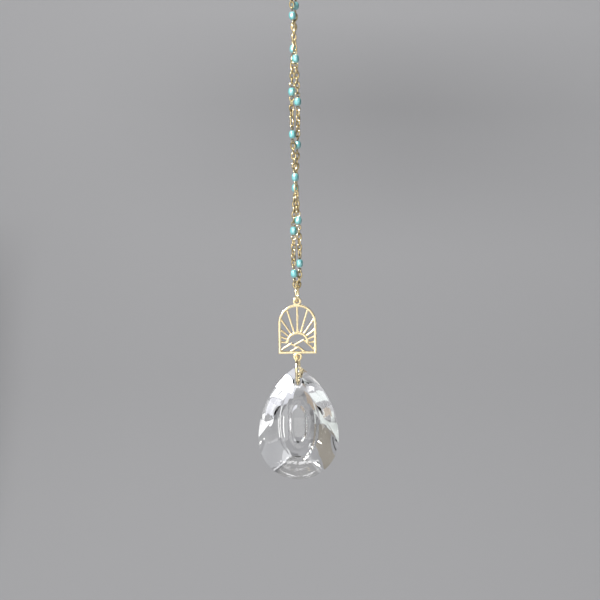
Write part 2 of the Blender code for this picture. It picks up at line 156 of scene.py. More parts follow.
def soft_bar_section(width: float, thickness: float, corner: float, steps: int = 4) -> np.ndarray:
    """The section of a flat bar with rounded edges.

    Each corner is a quarter circle about a point set in from both sides by the corner's radius.

    Args:
        width: Size across the bar.
        thickness: Size in depth.
        corner: Radius of the rounded edges.
        steps: Points on each quarter circle.

    Returns:
        The (across, depth) points, in order.
    """
    quarter = np.linspace(0.0, math.pi / 2.0, steps)
    turns = np.arange(4)[:, None] * math.pi / 2.0 + quarter[None, :]
    side = np.array([1.0, -1.0, -1.0, 1.0])[:, None]
    front = np.array([1.0, 1.0, -1.0, -1.0])[:, None]
    across = side * (width / 2.0 - corner) + corner * np.cos(turns)
    depth = front * (thickness / 2.0 - corner) + corner * np.sin(turns)
    return np.column_stack([across.ravel(), depth.ravel()])


def swept(path: np.ndarray, section: np.ndarray, closed: bool, swell: np.ndarray | None = None) -> Shell:
    """Carries a section along a flat path in the XZ plane.

    A vertex is the path's point, plus the path's outward direction times across, plus Y times
    depth. The outward direction halves each corner and is stretched so that the bar keeps its width.

    Args:
        path: The (x, z) points of the middle line.
        section: The (across, depth) points.
        closed: Whether the path's end joins its start. Otherwise both ends get a cap.
        swell: A factor on the section for each point of the path.

    Returns:
        The swept shell.
    """
    ahead = np.roll(path, -1, axis=0) - path
    if not closed:
        ahead[-1] = ahead[-2]
    ahead = ahead / np.linalg.norm(ahead, axis=1)[:, None]
    behind = np.roll(ahead, 1, axis=0)
    if not closed:
        behind[0] = ahead[0]
    outward = np.column_stack([ahead[:, 1] + behind[:, 1], -ahead[:, 0] - behind[:, 0]])
    outward /= np.linalg.norm(outward, axis=1)[:, None]
    stretch = 1.0 / np.abs(outward[:, 0] * ahead[:, 1] - outward[:, 1] * ahead[:, 0])
    swell = np.ones(len(path)) if swell is None else swell
    across = section[None, :, 0] * (swell * stretch)[:, None]
    depth = section[None, :, 1] * swell[:, None]
    x = path[:, 0, None] + outward[:, 0, None] * across
    z = path[:, 1, None] + outward[:, 1, None] * across
    vertices = np.stack([x, depth, z], axis=-1).reshape(-1, 3)
    rows, columns = len(path), len(section)
    caps = []
    if not closed:
        caps = [list(range(columns))[::-1], list(range((rows - 1) * columns, rows * columns))]
    return Shell(vertices, grid_quads(rows, columns, closed, True), caps)


def loop_path(half_width: float, half_height: float, power: float, steps: int) -> np.ndarray:
    """The middle line of a bent wire loop, from a circle (power 2) to a rounded oblong.

    x is the half width times the cosine, and z the half height times the sine, each raised to
    two over the power with its sign kept.

    Args:
        half_width: Reach along X.
        half_height: Reach along Z.
        power: How square the loop is.
        steps: Points round it.

    Returns:
        The (x, z) points.
    """
    angle = (np.arange(steps) + 0.5) * 2.0 * math.pi / steps
    bend = 2.0 / power
    x = half_width * np.sign(np.cos(angle)) * np.abs(np.cos(angle)) ** bend
    z = half_height * np.sign(np.sin(angle)) * np.abs(np.sin(angle)) ** bend
    return np.column_stack([x, z])


def applied(piece: bpy.types.Object) -> bpy.types.Object:
    """Turns a piece's modifiers into its mesh.

    Args:
        piece: The object with modifiers.

    Returns:
        The same object, with none left.
    """
    graph = bpy.context.evaluated_depsgraph_get()
    mesh = bpy.data.meshes.new_from_object(piece.evaluated_get(graph))
    piece.modifiers.clear()
    piece.data = mesh
    return piece


def hang(piece: bpy.types.Object, finish: bpy.types.Material, node: str) -> None:
    """Dresses a piece, ties it to the frame and lets it stand for its CAD node.

    Args:
        piece: The finished piece.
        finish: Its material.
        node: The CAD node that it replaces.
    """
    piece.data.materials.clear()
    piece.data.materials.append(finish)
    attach(piece, "root")
    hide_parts(node)
    log.info("%s stands for %s with %d faces", piece.name, node, len(piece.data.polygons))


# Finishes


def add_node(tree: bpy.types.NodeTree, kind: str, values: dict | None = None, **settings) -> bpy.types.Node:
    """Adds a shader node.

    Args:
        tree: The material's or the group's tree.
        kind: The node's Blender type.
        values: Input socket name or number to its constant.
        settings: The node's own properties.

    Returns:
        The node.
    """
    node = tree.nodes.new(kind)
    for key, value in settings.items():
        setattr(node, key, value)
    for key, value in (values or {}).items():
        node.inputs[key].default_value = value
    return node


def new_group(name: str, inputs: dict[str, float], outputs: tuple[str, ...]) -> tuple:
    """Makes a shader node group.

    Args:
        name: The group's name.
        inputs: Float input name to its default.
        outputs: Names of the float outputs.

    Returns:
        The tree, its input node and its output node.
    """
    tree = bpy.data.node_groups.new(name, "ShaderNodeTree")
    for key, value in inputs.items():
        socket = tree.interface.new_socket(key, in_out="INPUT", socket_type="NodeSocketFloat")
        socket.default_value = value
    for key in outputs:
        tree.interface.new_socket(key, in_out="OUTPUT", socket_type="NodeSocketFloat")
    return tree, tree.nodes.new("NodeGroupInput"), tree.nodes.new("NodeGroupOutput")


def wear_group() -> bpy.types.NodeTree:
    """Soft clouds, hair scratches and their height, on Object coordinates.

    Clouds are noise; on the chain's finish they lay in painted shade. Scratches are the thin lines where a
    stretched, warped noise crosses its middle value. The height is the clouds' share less the scratches'.

    Returns:
        The group, with inputs Grain and Scratch Width, and outputs Clouds, Scratches and Height.
    """
    tree, source, sink = new_group(
        "handling wear and painted shade", {"Grain": 900.0, "Scratch Width": 0.02}, ("Clouds", "Scratches", "Height")
    )
    link = tree.links.new
    place = add_node(tree, "ShaderNodeTexCoord")
    clouds = add_node(tree, "ShaderNodeTexNoise", {"Detail": 4.0, "Roughness": 0.6})
    link(place.outputs["Object"], clouds.inputs["Vector"])
    link(source.outputs["Grain"], clouds.inputs["Scale"])
    stretch = add_node(tree, "ShaderNodeMapping", {"Scale": (1.0, 1.0, 0.25), "Rotation": (0.4, 0.7, 0.2)})
    link(place.outputs["Object"], stretch.inputs["Vector"])
    lines = add_node(tree, "ShaderNodeTexNoise", {"Detail": 1.0, "Distortion": 0.6})
    link(stretch.outputs["Vector"], lines.inputs["Vector"])
    link(source.outputs["Grain"], lines.inputs["Scale"])
    near = add_node(tree, "ShaderNodeMath", {1: 0.5}, operation="SUBTRACT")
    link(lines.outputs["Fac"], near.inputs[0])
    gap = add_node(tree, "ShaderNodeMath", operation="ABSOLUTE")
    link(near.outputs[0], gap.inputs[0])
    thin = add_node(tree, "ShaderNodeMath", operation="DIVIDE")
    link(gap.outputs[0], thin.inputs[0])
    link(source.outputs["Scratch Width"], thin.inputs[1])
    mark = add_node(tree, "ShaderNodeMath", {0: 1.0}, operation="SUBTRACT", use_clamp=True)
    link(thin.outputs[0], mark.inputs[1])
    low = add_node(tree, "ShaderNodeMath", {1: 0.6}, operation="MULTIPLY")
    link(mark.outputs[0], low.inputs[0])
    height = add_node(tree, "ShaderNodeMath", operation="SUBTRACT")
    link(clouds.outputs["Fac"], height.inputs[0])
    link(low.outputs[0], height.inputs[1])
    link(clouds.outputs["Fac"], sink.inputs["Clouds"])
    link(mark.outputs[0], sink.inputs["Scratches"])
    link(height.outputs[0], sink.inputs["Height"])
    return tree


@dataclass(frozen=True)
class Finish:
    """A worn, handled surface: two tones clouded together, with scratches in its gloss. On the chain's finish
    the near-black deep tone is painted shade, laid in the clouds.

    Attributes:
        name: The material's name.
        light: Colour where the surface is clean.
        deep: Colour in its clouds; on the chain's finish it is painted shade.
        metallic: Metallic value.
        roughness: Lowest and highest roughness.
        grain: Clouds for each metre.
        scratch_width: How wide the scratches are, as a share of the noise.
        relief: Depth of the bump.
        coat: Weight of a clear coat.
        coat_roughness: Roughness of that coat.
        coat_ior: Its index of refraction.
        bump_strength: Strength of the bump.
    """

    name: str
    light: Colour
    deep: Colour
    metallic: float
    roughness: tuple[float, float]
    grain: float
    scratch_width: float
    relief: float
    coat: float = 0.0
    coat_roughness: float = 0.04
    coat_ior: float = 1.5
    bump_strength: float = 0.25

    def material(self, wear: bpy.types.NodeTree) -> bpy.types.Material:
        """Builds the material.

        Args:
            wear: The wear group.

        Returns:
            The material.
        """
        material = bpy.data.materials.new(self.name)
        material.use_nodes = True
        tree = material.node_tree
        link = tree.links.new
        shader = tree.nodes["Principled BSDF"]
        shader.inputs["Metallic"].default_value = self.metallic
        shader.inputs["Coat Weight"].default_value = self.coat
        shader.inputs["Coat Roughness"].default_value = self.coat_roughness
        shader.inputs["Coat IOR"].default_value = self.coat_ior
        wear_values = {"Grain": self.grain, "Scratch Width": self.scratch_width}
        group = add_node(tree, "ShaderNodeGroup", wear_values, node_tree=wear)
        tones = {6: (*self.light, 1.0), 7: (*self.deep, 1.0)}
        tone = add_node(tree, "ShaderNodeMix", tones, data_type="RGBA")
        spread = add_node(tree, "ShaderNodeMapRange", {1: 0.35, 2: 0.7})
        link(group.outputs["Clouds"], spread.inputs[0])
        link(spread.outputs[0], tone.inputs[0])
        link(tone.outputs[2], shader.inputs["Base Color"])
        gloss = add_node(tree, "ShaderNodeMapRange", {3: self.roughness[0], 4: self.roughness[1]})
        worn = add_node(tree, "ShaderNodeMath", operation="MAXIMUM")
        link(spread.outputs[0], worn.inputs[0])
        link(group.outputs["Scratches"], worn.inputs[1])
        link(worn.outputs[0], gloss.inputs[0])
        link(gloss.outputs[0], shader.inputs["Roughness"])
        bump = add_node(tree, "ShaderNodeBump", {"Strength": self.bump_strength, "Distance": self.relief})
        link(group.outputs["Height"], bump.inputs["Height"])
        link(bump.outputs["Normal"], shader.inputs["Normal"])
        return material


@dataclass(frozen=True)
class ClearCrystal:
    """Clear polished crystal, with the faintest smudges in its gloss.

    Attributes:
        tint: Colour of the glass.
        ior: Its index of refraction.
        smudge: Highest roughness, where it was touched.
    """

    tint: Colour = (0.985, 0.99, 0.995)
    ior: float = 1.55
    smudge: float = 0.012

    def material(self, wear: bpy.types.NodeTree) -> bpy.types.Material:
        """Builds the material.

        Args:
            wear: The wear group.

        Returns:
            The material, with plain Metallic and Transmission Weight.
        """
        material = bpy.data.materials.new("clear crystal")
        material.use_nodes = True
        tree = material.node_tree
        shader = tree.nodes["Principled BSDF"]
        shader.inputs["Base Color"].default_value = (*self.tint, 1.0)
        shader.inputs["Metallic"].default_value = 0.0
        shader.inputs["Transmission Weight"].default_value = 1.0
        shader.inputs["IOR"].default_value = self.ior
        wear_values = {"Grain": 160.0, "Scratch Width": 0.004}
        group = add_node(tree, "ShaderNodeGroup", wear_values, node_tree=wear)
        gloss = add_node(tree, "ShaderNodeMapRange", {1: 0.45, 2: 0.8, 3: 0.0, 4: self.smudge})
        tree.links.new(group.outputs["Clouds"], gloss.inputs[0])
        tree.links.new(gloss.outputs[0], shader.inputs["Roughness"])
        return material


PALE_GOLD = Finish(
    name="pale gold",
    light=(0.90, 0.78, 0.53),
    deep=(0.76, 0.61, 0.34),
    metallic=1.0,
    roughness=(0.16, 0.34),
    grain=1400.0,
    scratch_width=0.03,
    relief=0.02 * MM,
)
# The chain's deep tone is painted shade: near-black clouds that stand in for the shaded sides of the links.
CHAIN_GOLD_WITH_PAINTED_SHADE = Finish(
    name="chain gold with painted shade",
    light=(0.80, 0.67, 0.41),
    deep=(0.14, 0.10, 0.03),
    metallic=1.0,
    roughness=(0.08, 0.24),
    grain=750.0,
    scratch_width=0.03,
    relief=0.02 * MM,
)
TURQUOISE_GLASS = Finish(
    name="turquoise glass",
    light=(0.08, 0.34, 0.34),
    deep=(0.012, 0.17, 0.19),
    metallic=0.0,
    roughness=(0.24, 0.34),
    grain=900.0,
    scratch_width=0.01,
    relief=0.015 * MM,
    coat=1.0,
    coat_roughness=0.36,
    coat_ior=2.4,
)


# Pieces


@dataclass
class Ring:
    """A round wire ring with a fine cut where its ends meet.

    Attributes:
        node: The CAD node, whose box gives the ring's place and size.
        name: The piece's name.
        radius: Radius of the wire's middle line.
        wire: Thickness of the wire.
        turn: Turn about Z, where 0 faces along Y.
        seam_angle: Where the cut is, in radians from +X.
    """

    node: str
    name: str
    radius: float
    wire: float
    turn: float
    seam_angle: float
    steps: int = 160
    sides: int = 20
    seam_width: float = 0.09 * MM
    end_share: float = 0.82

    @property
    def middle(self) -> Vector:
        """The ring's centre."""
        low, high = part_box(self.node)
        return (low + high) / 2.0

    def build(self) -> bpy.types.Object:
        """Sweeps the wire round, from one side of the cut to the other.

        The path is the radius times cosine and sine, and the wire narrows a little at both ends.
        """
        gap = self.seam_width / self.radius
        angle = self.seam_angle + gap / 2.0 + np.linspace(0.0, 2.0 * math.pi - gap, self.steps)
        path = self.radius * np.column_stack([np.cos(angle), np.sin(angle)])
        swell = np.ones(self.steps)
        swell[[0, -1]] = self.end_share
        ring = swept(path, round_section(self.wire, self.sides), False, swell)
        place = Matrix.Translation(self.middle) @ Matrix.Rotation(self.turn, 4, "Z")
        return ring.moved(place).piece(self.name)


@dataclass
class TwistedStrands:
    """Two cable chains with beads that wind about each other, left-handed.

    The middle line of a strand is a screw that closes in at both ends, where it turns faster so
    that the links lie side by side along the ring that they hang on.
    """

    hanger: Ring
    joiner: Ring
    link_wire: float = 0.58 * MM
    link_length: float = 2.86 * MM
    link_width: float = 1.96 * MM
    end_link_width: float = 2.26 * MM
    eye_wire: float = 0.4 * MM
    eye_length: float = 1.86 * MM
    eye_play: float = 0.13 * MM
    touch: float = 0.05 * MM
    bead_height: float = 2.65 * MM
    bead_width: float = 2.5 * MM
    bead_end_width: float = 1.6 * MM
    bead_chamfer: float = 0.62 * MM
    bead_bore: float = 0.8 * MM
    bead_shoulder: float = 0.955
    bead_sides: int = 8
    bead_bevel: float = 0.12 * MM
    bevel_segments: int = 3
    bevel_from_angle: float = math.radians(8.0)
    links_between: int = 5
    beads: int = 8
    extra_links: int = 4
    twist: float = math.radians(3580.0)
    twist_radius: float = 1.06 * MM
    end_radius: float = 0.62 * MM
    end_taper: float = 3.0 * MM
    end_turn: float = math.radians(45.0)
    end_turn_length: float = 2.5 * MM
    slack_length: float = 14.0 * MM
    link_squareness: float = 2.35
    eye_squareness: float = 2.15
    steps: int = 28
    sides: int = 8
    shaft_rows: int = 8

    @property
    def link_pitch(self) -> float:
        """Distance between the contacts at a link's two ends."""
        return self.link_length - 2.0 * self.link_wire + self.touch

    @property
    def eye_start(self) -> float:
        """Height of a bead wire's eye above the bead's middle."""
        return self.bead_height / 2.0 + self.eye_play

    @property
    def bead_pitch(self) -> float:
        """Distance between the contacts at a bead wire's two eyes."""
        return 2.0 * (self.eye_start + self.eye_length - self.eye_wire) + self.touch

    @property
    def length(self) -> float:
        """Distance between a strand's end contacts."""
        links = self.links_between * (self.beads - 1) + self.extra_links
        return links * self.link_pitch + self.beads * self.bead_pitch

    @property
    def foot(self) -> float:
        """Height of the lowest contact, inside the top of the ring below."""
        ring = self.joiner
        return ring.middle.z + ring.radius - ring.wire / 2.0 - self.eye_play

    @property
    def foot_angle(self) -> float:
        """Where the first strand starts its screw."""
        return -self.joiner.turn + self.end_turn

    @property
    def turn_at_top(self) -> float:
        """How far the screw has turned at the top, before the slack is taken up."""
        return self.foot_angle + self.twist * self.length + self.end_turn

    @property
    def top_slack(self) -> float:
        """The turn that is left over at the top."""
        return math.remainder(self.turn_at_top, math.pi)

    def point(self, height: float, start_angle: float) -> Vector:
        """A point of a strand's middle line.

        Args:
            height: Height above the strand's foot.
            start_angle: Where the strand starts round the screw.

        Returns:
            The point, at the screw's radius and angle for that height.
        """
        below_top = self.length - height
        spread = min(eased(height / self.end_taper), eased(below_top / self.end_taper))
        radius = self.end_radius + (self.twist_radius - self.end_radius) * spread
        angle = self.foot_angle + self.twist * height + start_angle
        angle -= self.end_turn * (1.0 - eased(height / self.end_turn_length))
        angle += self.end_turn * (1.0 - eased(below_top / self.end_turn_length))
        angle -= self.top_slack * eased(1.0 - below_top / self.slack_length)
        return Vector((radius * math.cos(angle), -radius * math.sin(angle), self.foot + height))

    def link(self, width: float) -> Shell:
        """A rounded oblong link of round wire, of a given width."""
        path = loop_path(
            (width - self.link_wire) / 2.0,
            (self.link_length - self.link_wire) / 2.0,
            self.link_squareness,
            self.steps,
        )
        return swept(path, round_section(self.link_wire, self.sides), True)

    def bead_wire(self) -> list[Shell]:
        """The wire through a bead: an eye above, an eye below and a straight shaft."""
        half = (self.eye_length - self.eye_wire) / 2.0
        section = round_section(self.eye_wire, self.sides)
        eye = swept(loop_path(half, half, self.eye_squareness, self.steps), section, True)
        rise = self.eye_start + self.eye_length / 2.0
        reach = self.eye_start + self.eye_wire / 2.0
        rows = self.shaft_rows
        shaft = swept(np.column_stack([np.zeros(rows), np.linspace(-reach, reach, rows)]), section, False)
        lift = Matrix.Translation((0.0, 0.0, rise))
        drop = Matrix.Translation((0.0, 0.0, -rise))
        return [eye.moved(lift), eye.moved(drop), shaft]

    def bead(self) -> Shell:
        """A faceted bead about Z: rows of corners, every second row turned by half a facet.

        A corner is at its row's radius and height, so flat kite and triangle facets run between
        the rows.
        """
        half = self.bead_height / 2.0
        cut = half - self.bead_chamfer
        wide = self.bead_width / 2.0
        shoulder = wide * self.bead_shoulder
        rows = np.array(
            [
                (self.bead_bore / 2.0, -half, 0.0),
                (self.bead_end_width / 2.0, -half, 0.0),
                (shoulder, -cut, 0.5),
                (wide, 0.0, 0.0),
                (shoulder, cut, 0.5),
                (self.bead_end_width / 2.0, half, 0.0),
                (self.bead_bore / 2.0, half, 0.0),
            ]
        )
        column = np.arange(self.bead_sides)
        angle = (column[None, :] + rows[:, 2, None]) * 2.0 * math.pi / self.bead_sides
        radius = rows[:, 0, None]
        height = np.broadcast_to(rows[:, 1, None], angle.shape)
        corners = np.stack([radius * np.cos(angle), radius * np.sin(angle), height], axis=-1)
        return Shell(corners.reshape(-1, 3), grid_quads(len(rows), self.bead_sides, True, True))

    def soft_edged(self, bead: bpy.types.Object) -> bpy.types.Object:
        """Returns the bead with flat facets and a small bevel on the edges between them."""
        bead.data.shade_flat()
        bevel = bead.modifiers.new("Soft edges", "BEVEL")
        bevel.width = self.bead_bevel
        bevel.segments = self.bevel_segments
        bevel.limit_method = "ANGLE"
        bevel.angle_limit = self.bevel_from_angle
        return bead

    def build(self, name: str, start_angle: float, links_below: int) -> tuple[Shell, list[Shell]]:
        """Lays out one strand from its foot up.

        Args:
            name: The strand's name, for the log.
            start_angle: Where it starts round the screw.
            links_below: Links below its lowest bead.

        Returns:
            All links and bead wires as one shell, and the beads.
        """
        order = ["link"] * links_below + ["bead"]
        order += (["link"] * self.links_between + ["bead"]) * (self.beads - 1)
        order += ["link"] * (self.extra_links - links_below)
        quarter = math.pi / 2.0
        turns = round((self.turn_at_top - self.top_slack) / math.pi)
        roll_in_all = self.joiner.turn + turns * math.pi
        link, end_link = self.link(self.link_width), self.link(self.end_link_width)
        bead_wire, bead = joined(self.bead_wire()), self.bead()
        wires, beads, height = [], [], 0.0
        for count, kind in enumerate(order):
            step = self.link_pitch if kind == "link" else self.bead_pitch
            middle = (height + step / 2.0) / self.length
            roll = self.joiner.turn - quarter - roll_in_all * middle + count % 2 * quarter
            low, high = self.point(height, start_angle), self.point(height + step, start_angle)
            place = aligned(low, high, roll)
            shape = end_link if count in (0, len(order) - 1) else link
            wires.append((shape if kind == "link" else bead_wire).moved(place))
            if kind == "bead":
                beads.append(bead.moved(place))
            height += step
        log.info("%s has %d links and %d beads", name, order.count("link"), len(beads))
        return joined(wires), beads


def eased(share: float) -> float:
    """Returns 3s² − 2s³ of a share s held between 0 and 1: it starts and ends slowly."""
    share = min(max(share, 0.0), 1.0)
    return share * share * (3.0 - 2.0 * share)


def aligned(low: Vector, high: Vector, roll: float) -> Matrix:
    """Finds the place of an element that hangs between two points.

    Args:
        low: Its lower contact.
        high: Its upper contact.
        roll: Its turn about the line between them.

    Returns:
        A matrix that takes +Z to that line and the origin to its middle.
    """
    up = (high - low).normalized()
    side = Vector((math.cos(roll), math.sin(roll), 0.0))
    side = (side - up * side.dot(up)).normalized()
    turn = Matrix((side, up.cross(side), up)).transposed().to_4x4()
    return Matrix.Translation((low + high) / 2.0) @ turn


@dataclass
class SunCharm:
    """The openwork charm: an arched frame with a half sun, its rays, peaks and two eyes.

    A share is a bar's thickness over the frame's. A peak's corners are (x, height) in half widths
    and in heights of the sun's middle.
    """

    width: float = 13.0 * MM
    height: float = 16.85 * MM
    thickness: float = 1.0 * MM
    bar: float = 0.9 * MM
    ray_bar: float = 0.7 * MM
    rays: int = 11
    ray_step: float = math.radians(17.0)
    sun_radius: float = 3.95 * MM
    sun_height: float = 3.54 * MM
    eye_wall: float = 0.85 * MM
    eye_sink: float = 0.5 * MM
    top_eye_bore: float = 1.28 * MM
    foot_eye_bore: float = 1.38 * MM
    rounding: float = 0.26 * MM
    voxel: float = 0.075 * MM
    smoothing: int = 5
    smoothing_factor: float = 0.5
    arch_steps: int = 65
    sun_steps: int = 49
    eye_steps: int = 64
    sun_share: float = 0.94
    ray_share: float = 0.82
    peak_share: float = 0.88
    eye_share: float = 1.06
    peaks: tuple = (
        ((-0.91, 0.31), (-0.346, 0.99), (-0.03, 0.62)),
        ((-0.17, 0.85), (0.31, 1.33), (0.91, 0.34)),
        ((-0.446, 0.10), (0.04, 0.68), (0.446, 0.10)),
    )

    @property
    def top(self) -> float:
        """Height of the arch's top, below the eye that the upper ring goes through."""
        eye_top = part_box("sun_charm")[1].z
        return eye_top - self.top_eye_bore - 2.0 * self.eye_wall + self.eye_sink

    @property
    def foot(self) -> float:
        """Height of the frame's lower edge."""
        return self.top - self.height

    def reach(self, angle: float) -> float:
        """Distance from the sun's middle to the frame.

        Up to the side bars it is half the width over the sine. Above, it is the length to the arch,
        a circle about a point higher up.

        Args:
            angle: The ray's angle from upright.

        Returns:
            The distance.
        """
        half = (self.width - self.bar) / 2.0
        rise = self.height - self.width / 2.0 - self.sun_height
        if half * math.cos(angle) <= rise * abs(math.sin(angle)):
            return half / abs(math.sin(angle))
        return rise * math.cos(angle) + math.sqrt(half**2 - (rise * math.sin(angle)) ** 2)

    def frame_path(self) -> np.ndarray:
        """The frame's middle line: a straight foot under a half circle."""
        half = (self.width - self.bar) / 2.0
        angle = np.linspace(0.0, math.pi, self.arch_steps)
        arc = np.column_stack([half * np.cos(angle), self.top - self.width / 2.0 + half * np.sin(angle)])
        foot = self.foot + self.bar / 2.0
        return np.vstack([[(-half, foot), (half, foot)], arc])

    def build(self) -> bpy.types.Object:
        """Sweeps every bar, melts them into one casting and softens its corners."""
        sun_z = self.foot + self.sun_height
        middle = self.sun_radius - self.bar / 2.0
        last = self.ray_step * (self.rays - 1) / 2.0
        bars = [swept(self.frame_path(), self.section(self.bar, 1.0), True)]
        angle = np.linspace(-last, last, self.sun_steps)
        arc = np.column_stack([middle * np.sin(angle), sun_z + middle * np.cos(angle)])
        bars.append(swept(arc, self.section(self.bar, self.sun_share), False))
        for tilt in np.linspace(-last, last, self.rays):
            ends = np.array([middle, self.reach(tilt)])
            ray = np.column_stack([ends * math.sin(tilt), sun_z + ends * math.cos(tilt)])
            bars.append(swept(ray, self.section(self.ray_bar, self.ray_share), False))
        for line in self.peaks:
            ridge = np.array(line) * (self.width / 2.0, self.sun_height) + (0.0, self.foot)
            bars.append(swept(ridge, self.section(self.ray_bar, self.peak_share), False))
        eye_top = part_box("sun_charm")[1].z
        top_eye = eye_top - self.eye_wall - self.top_eye_bore / 2.0
        foot_eye = self.foot - self.foot_eye_bore / 2.0 - self.eye_wall + self.eye_sink
        for bore, height in ((self.top_eye_bore, top_eye), (self.foot_eye_bore, foot_eye)):
            radius = (bore + self.eye_wall) / 2.0
            loop = loop_path(radius, radius, 2.0, self.eye_steps) + (0.0, height)
            bars.append(swept(loop, self.section(self.eye_wall, self.eye_share), True))
        charm = joined(bars).piece("sunrise_charm")
        melt = charm.modifiers.new("Melt", "REMESH")
        melt.mode = "VOXEL"
        melt.voxel_size = self.voxel
        melt.use_smooth_shade = True
        soften = charm.modifiers.new("Soften", "SMOOTH")
        soften.factor = self.smoothing_factor
        soften.iterations = self.smoothing
        return applied(charm)

    def section(self, width: float, share: float) -> np.ndarray:
        """A bar's rounded section, with a share of the charm's thickness."""
        return soft_bar_section(width, self.thickness * share, self.rounding)


@dataclass
class CrystalDrop:
    """The clear drop: on each face a smooth dome inside five facets, and a thin girdle around.

    The rise is the height above the middle of the dome. The dome's corners and bulges are in belly
    radii, but for the top corner, which is in rises of the tip. A bore mouth is (depth, radius in
    bore radii).
    """

    belly: float = 13.65 * MM
    flank: float = 30.0 * MM
    half_thickness: float = 5.6 * MM
    girdle: float = 0.7 * MM
    girdle_at_tip: float = 0.55 * MM
    girdle_at_corner: float = 1.3 * MM
    side_corner: float = math.radians(8.5)
    foot_corner: float = math.radians(51.0)
    bore: float = 2.3 * MM
    bore_below_tip: float = 6.0 * MM
    centre_share: float = 0.363
    dome_side_reach: float = 0.996
    dome_up_reach: float = 0.973
    dome_down_reach: float = 1.547
    dome_top: float = 0.911
    dome_side: tuple = (0.664, -0.044)
    dome_foot: tuple = (0.195, -0.784)
    side_bulge: float = 0.103
    lower_bulge: float = 0.037
    foot_bulge: float = 0.015
    bore_mouths: tuple = (
        (-8.0 * MM, 1.5),
        (-3.0 * MM, 1.5),
        (-2.3 * MM, 1.0),
        (2.3 * MM, 1.0),
        (3.0 * MM, 1.5),
        (8.0 * MM, 1.5),
    )
    bore_edge_angle: float = math.radians(28.0)
    eye_half_width: float = 2.0 * MM
    eye_half_height: float = 5.0 * MM
    eye_rings: tuple = ((1.25, 0.19, 0.34 * MM), (2.45, 0.2, 0.12 * MM))
    dome_rows: int = 90
    facet_rows: int = 6
    flank_steps: int = 44
    lower_steps: int = 30
    bore_sides: int = 64

    @property
    def centre_rise(self) -> float:
        """How far the dome's middle is above the belly's."""
        return self.centre_share * self.belly

    @property
    def tip_rise(self) -> float:
        """Rise of the tip, where the two flank arcs meet."""
        return math.sqrt(2.0 * self.flank * self.belly - self.belly**2) - self.centre_rise

    @property
    def tip_angle(self) -> float:
        """How far a flank arc turns from the widest place to the tip."""
        return math.acos(1.0 - self.belly / self.flank)

    def outline(self, distance: np.ndarray) -> np.ndarray:
        """The drop's outline: a flank arc of large radius, then the round belly.

        Args:
            distance: Lengths along the outline from the tip.

        Returns:
            The (x, rise) points.
        """
        angle = self.tip_angle - distance / self.flank
        turn = (distance - self.tip_angle * self.flank) / self.belly
        inset = self.flank * (1.0 - np.cos(angle))
        on_flank = np.column_stack([self.belly - inset, self.flank * np.sin(angle)])
        on_belly = np.column_stack([self.belly * np.cos(turn), -self.belly * np.sin(turn)])
        return np.where((angle > 0.0)[:, None], on_flank, on_belly) - (0.0, self.centre_rise)

    def dome(self, x: np.ndarray, rise: np.ndarray) -> np.ndarray:
        """Half the thickness: it falls off with the squares of x and rise over their reaches."""
        reach = np.where(rise > 0.0, self.dome_up_reach * self.tip_rise, self.dome_down_reach * self.belly)
        across = x / (self.dome_side_reach * self.belly)
        return self.half_thickness * (1.0 - across**2 - (rise / reach) ** 2)

    def eye_cut(self, x: np.ndarray, rise: np.ndarray) -> np.ndarray:
        """Depth of the oval rings that are polished into the middle of the back.

        Each ring is a bell curve of the distance from the middle, measured in ovals.

        Args:
            x: Places across.
            rise: Places upwards.

        Returns:
            The depth at each place.
        """
        ovals = np.hypot(x / self.eye_half_width, rise / self.eye_half_height)
        return sum(depth * np.exp(-(((ovals - at) / width) ** 2)) for at, width, depth in self.eye_rings)

    def facet(self, inner: tuple, bulge: float, outer: tuple, girdles: tuple, steps: int) -> tuple:
        """One facet, ruled between the dome's edge and the outline.

        The dome's edge is a straight line between its corners, pushed inwards by a parabola. The
        girdle is a parabola through its two corners and its middle.

        Args:
            inner: The two corners on the dome's edge.
            bulge: How far the edge bows inwards.
            outer: The two distances along the outline.
            girdles: Half the girdle's thickness at the two corners.
            steps: Spokes on the facet.

        Returns:
            The points on the dome's edge, those on the outline, and which are corners.
        """
        s = np.arange(steps) / steps
        start, end = np.array(inner[0]), np.array(inner[1])
        along = (end - start) / np.linalg.norm(end - start)
        inward = np.array([along[1], -along[0]])
        if inward @ (start + end) > 0.0:
            inward = -inward
        near = start + (end - start) * s[:, None] + inward * (bulge * 4.0 * s * (1.0 - s))[:, None]
        far = self.outline(outer[0] + (outer[1] - outer[0]) * s)
        rim = girdles[0] * (1.0 - s) * (1.0 - 2.0 * s) + girdles[1] * s * (2.0 * s - 1.0)
        rim = rim + 4.0 * self.girdle * s * (1.0 - s)
        edge = np.column_stack([near[:, 0], self.dome(near[:, 0], near[:, 1]), near[:, 1]])
        return edge, np.column_stack([far[:, 0], rim, far[:, 1]]), s == 0.0

